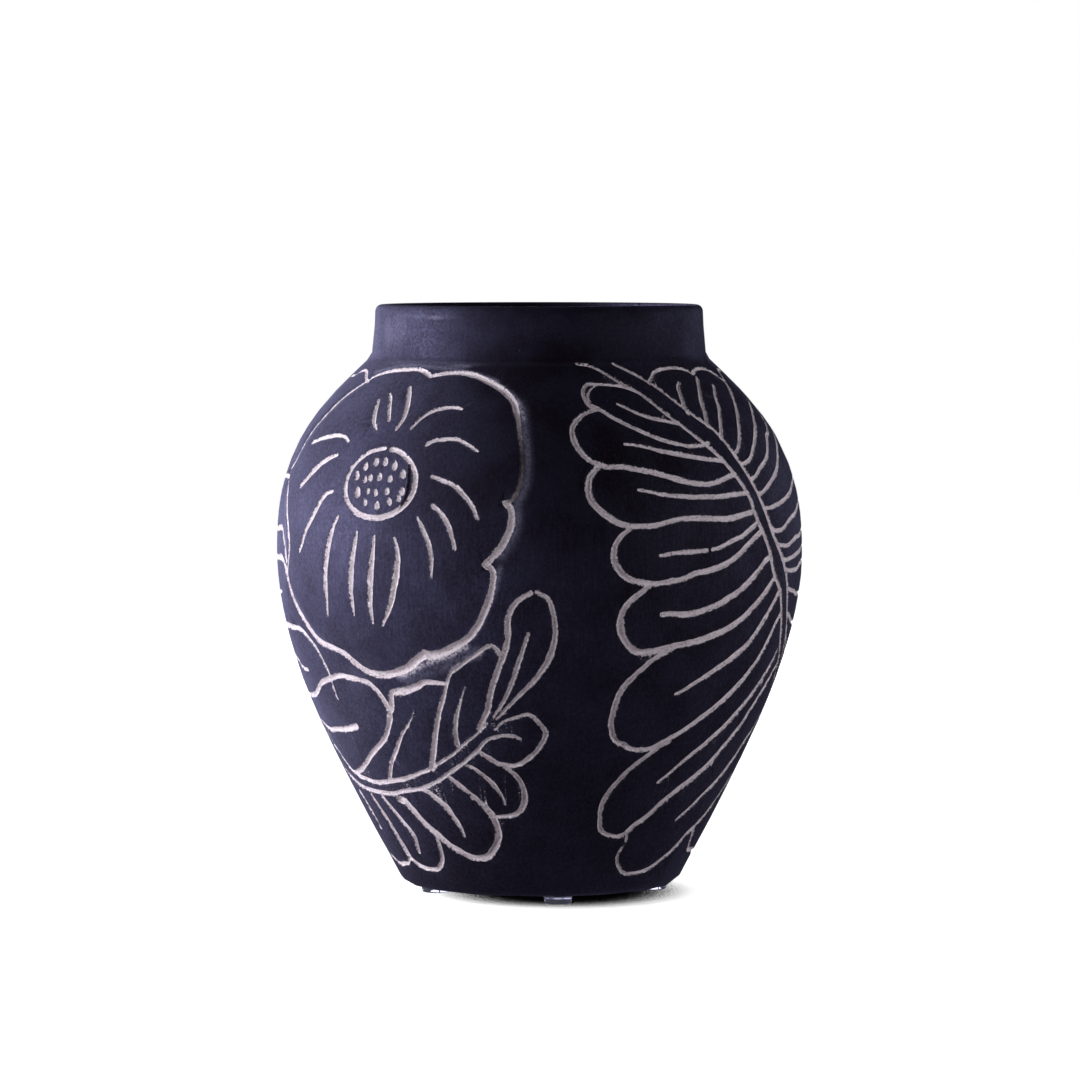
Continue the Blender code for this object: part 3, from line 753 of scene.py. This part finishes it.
def sampled(grid, row, column):
    """Values of a grid, which closes round its columns, between its points."""
    low_row = np.clip(np.floor(row).astype(int), 0, len(grid) - 2)
    low_column = np.floor(column).astype(int)
    down, along = row - low_row, column - low_column
    if grid.ndim == 3:
        down, along = down[:, None], along[:, None]
    left, right = low_column % COLUMNS, (low_column + 1) % COLUMNS
    near = grid[low_row, left] * (1 - along) + grid[low_row, right] * along
    far = grid[low_row + 1, left] * (1 - along) + grid[low_row + 1, right] * along
    return near * (1 - down) + far * down


def longest_edges(mesh, corners):
    """For each vertex, the length of the longest edge that meets it."""
    ends = np.empty(len(mesh.edges) * 2, np.int32)
    mesh.edges.foreach_get("vertices", ends)
    lengths = np.linalg.norm(corners[ends[0::2]] - corners[ends[1::2]], axis=1)
    longest = np.zeros(len(corners))
    np.maximum.at(longest, ends, np.repeat(lengths, 2))
    return longest


def build_pot():
    shell = Shell(*read_walls(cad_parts["pot_body"]))
    carve(shell.wall)
    places = shell.places()
    near = np.abs(shell.on_wall(shell.wall.gap, FAR)) < RIM
    rubbed = shell.on_wall(shell.wall.smear, 0.0) > FAINT / 3
    lip = np.zeros(near.shape, bool)
    lip[shell.section[:, 1] > shell.section[:, 1].max() - LIP_KEPT] = True
    lip[::LIP_ROWS] = False
    lip[:, np.arange(COLUMNS) % LIP_COLUMNS > 0] = False
    kept = np.flatnonzero(near | rubbed | lip)
    mesh = thinned(grid_mesh("carved_pot", places, shell.floors), TRIANGLES, kept)

    count = len(mesh.vertices)
    corners = np.empty(count * 3, np.float32)
    mesh.vertices.foreach_get("co", corners)
    corners = corners.reshape(-1, 3).astype(float)
    row = np.empty(count, np.float32)
    mesh.attributes["row"].data.foreach_get("value", row)
    lean = LEAN * corners[:, 2] / shell.section[:, 1].max()
    column = np.degrees(np.arctan2(corners[:, 0] - lean, -corners[:, 1])) % 360.0 * COLUMNS / 360.0
    smear = sampled(shell.on_wall(np.maximum(shell.wall.smear - FAINT, 0.0), 0.0), row, column)
    smear *= 1.0 - smooth_share(longest_edges(mesh, corners) / MM, *SMEAR_EDGES[::-1])
    for name, values in (
        ("cut_gap", sampled(shell.on_wall(shell.wall.gap, FAR), row, column)),
        ("cut_clean", sampled(shell.on_wall(shell.wall.clean, 1.0), row, column)),
        ("smear", smear),
    ):
        layer = mesh.attributes.new(name, "FLOAT", "POINT")
        layer.data.foreach_set("value", values.astype(np.float32))
    mesh.attributes.remove(mesh.attributes["row"])
    mesh.shade_smooth()
    rim = np.clip(shell.on_wall(shell.wall.gap, FAR) / -RIM_ROUNDING, 0.0, 1.0)[:, :, None]
    facing = grid_normals(places) * rim + grid_normals(shell.places(cuts=False)) * (1.0 - rim)
    normals = unit(sampled(facing, row, column))
    on_axis = np.hypot(corners[:, 0], corners[:, 1]) < AXIS_NEAR * MM
    inside_bottom = sum(shell.floors) / 2 * MM
    normals[on_axis] = np.sign(corners[on_axis, 2:] - inside_bottom) * [[0.0, 0.0, 1.0]]
    mesh.normals_split_custom_set_from_vertices(normals.tolist())

    mesh.materials.clear()
    hand_in("carved_pot", mesh, black_clay(), "pot_body")


# ---------------------------------------------------------------- materials


class Value:
    """What a material node gives out. Arithmetic on it adds a maths node to the same material."""

    def __init__(self, shader, socket):
        self.shader, self.socket = shader, socket

    def __add__(self, other):
        return self.shader.math("ADD", self, other)

    def __sub__(self, other):
        return self.shader.math("SUBTRACT", self, other)

    def __rsub__(self, other):
        return self.shader.math("SUBTRACT", other, self)

    def __mul__(self, other):
        return self.shader.math("MULTIPLY", self, other)

    def __truediv__(self, other):
        return self.shader.math("DIVIDE", self, other)

    def clamped(self):
        """Kept between 0 and 1. Only for a value that arithmetic gave."""
        self.socket.node.use_clamp = True
        return self


class Shader:
    """A material's node tree, with a call for each kind of node used here. Lengths are in mm."""

    def __init__(self, name):
        self.material = bpy.data.materials.new(name)
        self.material.use_nodes = True
        self.tree = self.material.node_tree
        self.surface = self.tree.nodes["Principled BSDF"]
        coordinates = self.tree.nodes.new("ShaderNodeTexCoord").outputs["Object"]
        self.place = self.divided(Value(self, coordinates), (MM, MM, MM))

    def node(self, kind, **settings):
        node = self.tree.nodes.new(kind)
        for name, setting in settings.items():
            setattr(node, name, setting)
        return node

    def feed(self, socket, value):
        if isinstance(value, Value):
            self.tree.links.new(value.socket, socket)
        else:
            socket.default_value = value

    def set(self, **inputs):
        for name, value in inputs.items():
            self.feed(self.surface.inputs[name.replace("_", " ")], value)

    def divided(self, a, b):
        node = self.node("ShaderNodeVectorMath", operation="DIVIDE")
        self.feed(node.inputs[0], a)
        self.feed(node.inputs[1], b)
        return Value(self, node.outputs["Vector"])

    def math(self, operation, a, b=0.0):
        node = self.node("ShaderNodeMath", operation=operation)
        self.feed(node.inputs[0], a)
        self.feed(node.inputs[1], b)
        return Value(self, node.outputs[0])

    def noise(self, size, detail=3.0, stretch=(1.0, 1.0, 1.0), roughness=0.55, along=None):
        """Noise about 0.5, with patches of this size. A value given as along adds a fourth direction."""
        node = self.node("ShaderNodeTexNoise")
        if along is not None:
            node.noise_dimensions = "4D"
            self.feed(node.inputs["W"], along * size)
        self.feed(node.inputs["Vector"], self.divided(self.place, stretch))
        node.inputs["Scale"].default_value = 1.0 / size
        node.inputs["Detail"].default_value = detail
        node.inputs["Roughness"].default_value = roughness
        return Value(self, node.outputs["Fac"])

    def step(self, value, start, end, low=0.0, high=1.0):
        """Goes smoothly from low to high as the value goes from start to end."""
        node = self.node("ShaderNodeMapRange", interpolation_type="SMOOTHSTEP")
        self.feed(node.inputs["Value"], value)
        for name, number in zip(("From Min", "From Max", "To Min", "To Max"), (start, end, low, high)):
            node.inputs[name].default_value = number
        return Value(self, node.outputs["Result"])

    def mix(self, share, a, b):
        """Colour a where the share is 0 and b where it is 1."""
        node = self.node("ShaderNodeMix", data_type="RGBA")
        self.feed(node.inputs["Factor"], share)
        for socket, colour in zip([s for s in node.inputs if s.type == "RGBA"], (a, b)):
            self.feed(socket, colour if isinstance(colour, Value) else (*colour, 1.0))
        return Value(self, next(s for s in node.outputs if s.type == "RGBA"))

    def spot(self, across, up, half_width, half_height, strength):
        """A soft patch on the front, fading out from its middle."""
        x = (self.axis("X") - across) / half_width
        z = (self.axis("Z") - up) / half_height
        on_front = self.step(self.axis("Y"), 10.0, -10.0)
        return on_front * self.step(x * x + z * z, 1.0, 0.0, 0.0, strength)

    def attribute(self, name):
        return Value(self, self.node("ShaderNodeAttribute", attribute_name=name).outputs["Fac"])

    def axis(self, name):
        node = self.node("ShaderNodeSeparateXYZ")
        self.feed(node.inputs[0], self.place)
        return Value(self, node.outputs[name])

    def seen_by(self, kind):
        """1 for this kind of ray and 0 for the others."""
        return Value(self, self.node("ShaderNodeLightPath").outputs[f"Is {kind} Ray"])

    def bump(self, height_mm):
        node = self.node("ShaderNodeBump")
        node.inputs["Strength"].default_value = 1.0
        node.inputs["Distance"].default_value = MM
        self.feed(node.inputs["Height"], height_mm)
        self.tree.links.new(node.outputs["Normal"], self.surface.inputs["Normal"])


# Where a noise counts as a mark: it fades in between these values. The lower they are, the more marks.
PITS = (0.59, 0.66)
PATCHES = (0.42, 0.68)
FIBRES = (0.30, 0.62)
CLOUDING = (0.33, 0.68)
SCRAPES = (0.45, 0.80)
TURNING_LINES = (0.50, 0.80)
GRIT = (0.72, 0.77)
WORN_PATCHES = (0.42, 0.72)
WORN_FURROWS = (0.44, 0.72)

# Distances from a cut's edge, mm.
CHIP_DEPTH = 2.2  # how far the fine noise moves the edge, from end to end
WANDER_DEPTH = 0.3
CHIPS_MIDDLE = 1.18  # what the two noises give on average, and a little less
FARTHEST_CHIP = 0.38  # the farthest that pale clay reaches outside the cut
PALE_EDGE = (0.02, -0.10)
DUSTY_RIM = (0.8, 0.0)
BURR_OUTSIDE = (0.70, 0.15)
BURR_INSIDE = (-0.10, 0.10)
BURR_HEIGHT = 0.07

# How much of the colour below each one hides.
PIT_STRENGTH = 0.85
SCRAPE_STRENGTH = 0.45
TURNING_STRENGTH = 0.30
GRIT_STRENGTH = 0.45
RIM_DUST = 0.10
WEAR, FURROW_WEAR = 0.7, 0.5

GRAIN_SIZE = 0.9  # mm, of the chips, the scrapes and the wear in the cuts
FURROWS_PER_MM = 2.0  # across a cut
SCRAPE_LENGTH = 12.0  # times its width, up the belly
TURNING_LENGTH = 18.0  # times its width, round the pot
COLLAR_FOOT = (243.0, 236.0)  # mm: the scrapes fade between these heights
COLLAR_SCRAPES = 0.25  # how much of them is left on the collar


def black_clay():
    """Smoke-fired clay, rubbed to a low shine, with the pale body showing in the cuts."""
    s = Shader("black_clay_carved")
    gap = s.attribute("cut_gap")

    # the cuts, with chipped edges, pits and the gouge's furrows
    chips = s.noise(GRAIN_SIZE, 5.0, roughness=0.75) * CHIP_DEPTH + s.noise(2.4, 2.0) * WANDER_DEPTH
    edge = gap + s.math("MAXIMUM", chips - CHIPS_MIDDLE, -FARTHEST_CHIP)
    pit = s.step(s.noise(0.8, 4.0, roughness=0.65), *PITS)
    in_cut = s.step(edge, *PALE_EDGE) * (1.0 - pit * PIT_STRENGTH)
    furrow = s.noise(5.0, 3.0, along=gap * FURROWS_PER_MM)

    # dust: smears by the cuts, clouds on the collar, a little at every rim, and a painted highlight along
    # the collar's foot
    patchy = s.step(s.noise(1.6, 4.0), *PATCHES)
    fibres = s.step(s.noise(1.1, 6.0, roughness=0.65), *FIBRES, 0.15, 1.0)
    rubbed = s.attribute("smear") * s.step(gap, *SMEAR_REACH)
    # the patches add dust on the collar and a painted highlight along its foot
    for cloud in DUST_AND_HIGHLIGHT_PATCHES:
        rubbed = rubbed + s.spot(*cloud)
    rubbed = (rubbed * fibres + s.step(edge, *DUSTY_RIM) * patchy * RIM_DUST).clamped()

    # the black, with clouds, fine scrapes up the belly, turning lines and grit
    cloud = s.step(s.noise(22.0, 5.0), *CLOUDING)
    on_belly = s.step(s.axis("Z"), *COLLAR_FOOT, COLLAR_SCRAPES, 1.0)
    scraped = (s.noise(GRAIN_SIZE, 4.0, stretch=(1.0, 1.0, SCRAPE_LENGTH)) - 0.5) * on_belly + 0.5
    turned = s.noise(0.7, 4.0, stretch=(TURNING_LENGTH, TURNING_LENGTH, 1.0))
    mottle = s.noise(1.3, 6.0, roughness=0.75)
    grit = s.step(s.noise(0.6, 2.0), *GRIT)
    black = s.mix(cloud, INK_DARK, INK_LIGHT)
    black = s.mix(s.step(scraped, *SCRAPES, 0.0, SCRAPE_STRENGTH), black, INK_STREAK)
    black = s.mix(s.step(turned, *TURNING_LINES, 0.0, TURNING_STRENGTH), black, INK_STREAK)
    black = s.mix(grit * GRIT_STRENGTH, black, DUST_AND_HIGHLIGHT)
    black_with_dust_and_highlight = s.mix(rubbed, black, s.mix(s.step(rubbed, 0.35, 0.85), DUST_AND_HIGHLIGHT, THICK_DUST))

    # the clay in the cuts: worn in patches and along the furrows, dim brown in a few, and black as a painted
    # shadow in the ring's hollow
    worn = s.step(s.noise(GRAIN_SIZE, 6.0, roughness=0.7), *WORN_PATCHES, 0.0, WEAR)
    worn = (worn + s.step(furrow, *WORN_FURROWS, 0.0, FURROW_WEAR)).clamped()
    clean = s.attribute("cut_clean")
    dim_brown_and_painted_shadow = s.mix(s.step(clean, -1.0, 0.0), PAINTED_SHADOW_BLACK, DIM_BROWN)
    body = s.mix((clean + patchy * 0.15).clamped(), dim_brown_and_painted_shadow, s.mix(worn, PALE_LIGHT, PALE_DARK))

    dull = s.math("MAXIMUM", s.step(mottle, 0.3, 0.7, 0.44, 0.60) + rubbed * 0.25, in_cut * 0.92)
    polish = s.step(mottle, 0.25, 0.75, 0.56, 0.26) * s.step(scraped, 0.25, 0.75, 0.82, 1.18)
    polish = polish * s.step(cloud, 0.0, 1.0, 0.88, 1.12)
    s.set(Base_Color=s.mix(in_cut, black_with_dust_and_highlight, body), Roughness=dull)
    s.set(Specular_IOR_Level=polish, Specular_Tint=(*INK_SHEEN, 1.0))

    grain = s.noise(0.45, 3.0) * 0.06 + (scraped + turned) * 0.03
    chatter = (s.noise(GRAIN_SIZE, 3.0) * 0.22 + furrow * 0.45) * in_cut
    burr = s.step(edge, *BURR_OUTSIDE) * (s.step(edge, *BURR_INSIDE) * BURR_HEIGHT)
    s.bump(grain + chatter + burr)
    return s.material


def clear_rubber():
    """Clear moulded polyurethane, a little cloudy, with a faint haze of dust."""
    s = Shader("clear_polyurethane_moulded")
    haze = s.step(s.noise(1.2, 4.0), 0.45, 0.75, 0.05, 0.22)
    tint = s.mix(s.noise(4.0, 2.0), (0.90, 0.93, 0.97), (0.96, 0.97, 0.98))
    s.set(Base_Color=tint, Roughness=haze, Transmission_Weight=0.95, IOR=1.5)
    s.bump(s.noise(0.8, 2.0) * 0.01)
    return s.material


def film():
    """Clear adhesive film with small trapped bubbles."""
    s = Shader("adhesive_film_clear")
    bubbles = s.step(s.noise(0.7, 2.0), 0.60, 0.70)
    tint = s.mix(bubbles, (0.80, 0.80, 0.76), (0.95, 0.95, 0.93))
    s.set(Base_Color=tint, Roughness=s.step(bubbles, 0.0, 1.0, 0.25, 0.6))
    s.set(Transmission_Weight=0.85, IOR=1.47)
    s.bump(bubbles * 0.02)
    return s.material


# ---------------------------------------------------------------- the pads

PAD_COLUMNS = 96
PAD_FOOT_SHARE = 0.93  # the foot's radius as a share of the top's
PAD_FOOT_EDGE = 0.5  # mm radius
PAD_TOP_EDGE = 0.25
PARTING_LINE = 0.72  # of the pad's thickness, where the mould's halves met
PARTING_RADII = (0.982, 0.986)  # of the pad's radius, below and above that line
PARTING_RIDGE = 0.06  # mm that the line stands out
PARTING_HALF = 0.12  # mm, half its height
FILM_WANDER = 0.15  # mm that the film's rim wanders off round
WANDER_COLUMNS = 6  # over which it wanders


def arc(centre, radius, start, end, steps):
    """Points of an arc, ends included. Angles are in degrees from outwards towards up."""
    turn = np.radians(np.linspace(start, end, steps + 1))
    return [(centre[0] + radius * math.cos(a), centre[1] + radius * math.sin(a)) for a in turn]


def pad_outline(radius, thickness):
    """From the foot's centre out, up the flared side with its parting ridge, and in over the top."""
    foot = radius * PAD_FOOT_SHARE
    below, above = (radius * share for share in PARTING_RADII)
    ridge_height = thickness * PARTING_LINE
    middle = 0.45  # of the way up and out
    return [
        *((foot * share, 0.0) for share in (0.3, 0.6, 0.85)),
        *arc((foot - PAD_FOOT_EDGE, PAD_FOOT_EDGE), PAD_FOOT_EDGE, -90, 0, 6),
        (foot + (radius - foot) * middle, thickness * middle),
        (below, ridge_height - PARTING_HALF),
        (below + PARTING_RIDGE, ridge_height),
        (above, ridge_height + PARTING_HALF),
        *arc((radius - PAD_TOP_EDGE, thickness - PAD_TOP_EDGE), PAD_TOP_EDGE, 0, 90, 4),
        *((radius * share, thickness) for share in (0.8, 0.5, 0.25)),
    ]


def film_outline(radius, thickness):
    bulge = thickness / 2
    rim = arc((radius - bulge, bulge), bulge, -90, 90, 6)
    return [(radius * 0.5, 0.0), *rim, (radius * 0.5, thickness)]


def turned_mesh(name, outline, columns, rim_wander):
    """A closed turned mesh. The outline runs from the underside's centre out and over to the top's."""
    rng = np.random.default_rng(len(name))
    angles = np.arange(columns) * 2 * math.pi / columns
    wander = rim_wander * slow_noise(rng, columns, WANDER_COLUMNS) * np.hanning(columns)
    outline = np.array(outline)
    radius = outline[:, :1] * (1.0 + wander[None, :] / outline[:, 0].max())
    height = outline[:, 1:] + 0 * radius
    places = np.stack([radius * np.sin(angles), -radius * np.cos(angles), height], axis=-1) * MM
    mesh = grid_mesh(name, places, (outline[0, 1], outline[-1, 1]))
    mesh.attributes.remove(mesh.attributes["row"])
    mesh.shade_smooth()
    return mesh


def build_pads():
    kinds = (
        ("pad", "moulded_pad", pad_outline, clear_rubber(), "clear_pad", 0.0),
        ("adhesive", "adhesive_film", film_outline, film(), "adhesive", FILM_WANDER),
    )
    for side in ("front", "right", "back", "left"):
        for node, piece, outline, material, slot, wander in kinds:
            low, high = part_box(f"{node}_{side}")
            radius, thickness = (high.x - low.x) / 2 / MM, (high.z - low.z) / MM
            mesh = turned_mesh(f"{piece}_{side}", outline(radius, thickness), PAD_COLUMNS, wander)
            middle = ((low.x + high.x) / 2, (low.y + high.y) / 2, low.z)
            hand_in(mesh.name, mesh, material, f"{node}_{side}", middle)


# ---------------------------------------------------------------- floor, light and camera

CAMERA_DISTANCE = 2.638  # m from the pot's axis
CAMERA_HEIGHT = 0.303
CAMERA_DOWN = 3.134  # degrees
LENS, SENSOR = 195.4, 36.0  # mm
FLOOR_HALF = 8.0  # m
CONTACT_SHADOW = (48.0, 84.0)  # mm from its middle: the floor's painted contact shadow fades out between these
SHADOW_ASIDE = 10.0  # mm to the right of the axis, the shadow's middle
SHADOW_SQUEEZE = 1.3  # how much narrower than deep the shadow is
SHADOW_GRAIN = 50.0  # mm that the grain moves the shadow's edge
WHITE_FLOOR = (0.8, 0.8, 0.8)
# the painted contact shadow's colour, as the camera sees it
SHADED_FLOOR = (0.03, 0.026, 0.03)
FLOOR_BOUNCE = (0.24, 0.22, 0.24)  # the floor's colour as it lights the pot
FLOOR_SHEEN = (0.02, 0.02, 0.02)  # and as shiny surfaces see it, away from the card
CARD_NEAR, CARD_BRIGHT, CARD_FAR = -20.0, -260.0, -520.0  # mm across: the card's edge, middle and far end
CARD_LEVELS = (0.11, 1.0, 0.66)  # how bright the card is at each of them
LIGHT_AIM = 0.13  # m above the floor
LIGHT_DISTANCE = 1.6
BEHIND = 0.05  # m that the matt light stands behind the sheen's, so that it never hides it
SHEEN_TINT = (0.96, 0.95, 1.60)

LIGHTS = (  # name, azimuth and elevation in degrees, size in m, watts for matt surfaces and for sheen
    ("key", -90, 8, 0.75, 24.0, 12.8),
    ("key_high", -90, 38, 0.85, 5.0, 4.9),
    ("left_edge_high", -135, 38, 0.85, 3.5, 3.1),
    ("left_edge", -120, 8, 0.75, 5.0, 4.0),
    ("behind_left", -150, 8, 0.75, 2.0, 2.0),
    ("behind", 180, 8, 0.75, 1.7, 1.7),
    ("front_left", -60, 8, 0.75, 10.0, 0.9),
    ("front", -30, 8, 0.75, 2.0, 0.0),
    ("front_right", 60, 8, 0.75, 6.5, 0.0),
    ("right", 90, 8, 0.75, 7.0, 1.0),
    ("right_high", 120, 50, 0.85, 0.0, 0.5),
    ("behind_right", 135, 8, 0.75, 0.7, 0.7),
)


def white_floor():
    """A white floor with a painted contact shadow. Shiny surfaces see it glow as a white card on the pot's
    left, a painted reflection, and dark elsewhere.
    """
    mesh = bpy.data.meshes.new("floor")
    corners = [(x * FLOOR_HALF, y * FLOOR_HALF, 0.0) for x, y in ((-1, -1), (1, -1), (1, 1), (-1, 1))]
    mesh.from_pydata(corners, [], [(0, 1, 2, 3)])
    s = Shader("white_floor")
    across, along = s.axis("X"), s.axis("Y")
    aside = (across - SHADOW_ASIDE) * SHADOW_SQUEEZE
    grain = (s.noise(0.7, 1.0, stretch=(1.0, 3.0, 1.0)) - 0.5) * SHADOW_GRAIN
    # 1 outside the painted contact shadow, where the floor glows white to the camera
    open_floor = s.step(s.math("SQRT", aside * aside + along * along) + grain, *CONTACT_SHADOW)
    # the card: a glow that only shiny surfaces see, a painted reflection
    card = s.step(across, CARD_NEAR, CARD_BRIGHT, *CARD_LEVELS[:2])
    card = card * s.step(across, CARD_BRIGHT, CARD_FAR, 1.0, CARD_LEVELS[2])
    glow = s.math("MAXIMUM", s.seen_by("Glossy") * card, s.seen_by("Camera") * open_floor)
    plain = s.mix(s.seen_by("Diffuse"), s.mix(open_floor, SHADED_FLOOR, WHITE_FLOOR), FLOOR_BOUNCE)
    s.set(Base_Color=s.mix(s.seen_by("Glossy"), plain, FLOOR_SHEEN))
    s.set(Emission_Color=s.mix(s.seen_by("Glossy"), (1.0, 1.0, 1.0), SHEEN_TINT), Emission_Strength=glow)
    s.set(Roughness=1.0, Specular_IOR_Level=0.0)
    mesh.materials.append(s.material)
    add("floor", mesh)


def soft_box(name, azimuth, elevation, size, power, kind):
    """A soft light aimed at the pot. It lights matt surfaces, or leaves a sheen on shiny ones."""
    data = bpy.data.lights.new(f"{name}_{kind}", "AREA")
    data.shape = "SQUARE"
    data.size = size
    data.energy = power
    light = add(data.name, data)
    around, up = math.radians(azimuth), math.radians(elevation)
    away = Vector((math.sin(around) * math.cos(up), -math.cos(around) * math.cos(up), math.sin(up)))
    distance = LIGHT_DISTANCE if kind == "sheen" else LIGHT_DISTANCE + BEHIND
    light.location = Vector((0.0, 0.0, LIGHT_AIM)) + away * distance
    light.rotation_mode = "QUATERNION"
    light.rotation_quaternion = away.to_track_quat("Z", "Y")
    light.visible_camera = False
    if kind == "sheen":
        data.color = SHEEN_TINT
        light.visible_diffuse = False
    else:
        light.visible_glossy = False


def light_stage():
    for name, azimuth, elevation, size, matt, sheen in LIGHTS:
        for kind, power in (("matt", matt), ("sheen", sheen)):
            if power:
                soft_box(name, azimuth, elevation, size, power, kind)
    world = bpy.data.worlds.new("studio")
    world.use_nodes = True
    tree = world.node_tree
    path = tree.nodes.new("ShaderNodeLightPath")
    tree.links.new(path.outputs["Is Camera Ray"], tree.nodes["Background"].inputs["Strength"])
    tree.nodes["Background"].inputs["Color"].default_value = (1.0, 1.0, 1.0, 1.0)
    bpy.context.scene.world = world


def place_camera():
    data = bpy.data.cameras.new("camera")
    data.lens = LENS
    data.sensor_width = SENSOR
    data.clip_end = 30.0
    camera = add("camera", data)
    camera.location = (0.0, -CAMERA_DISTANCE, CAMERA_HEIGHT)
    camera.rotation_euler = (math.radians(90.0 - CAMERA_DOWN), 0.0, 0.0)
    bpy.context.scene.camera = camera


build_pot()
build_pads()
white_floor()
light_stage()
place_camera()
bpy.context.scene.view_settings.view_transform = "Standard"
bpy.context.scene.view_settings.look = "None"
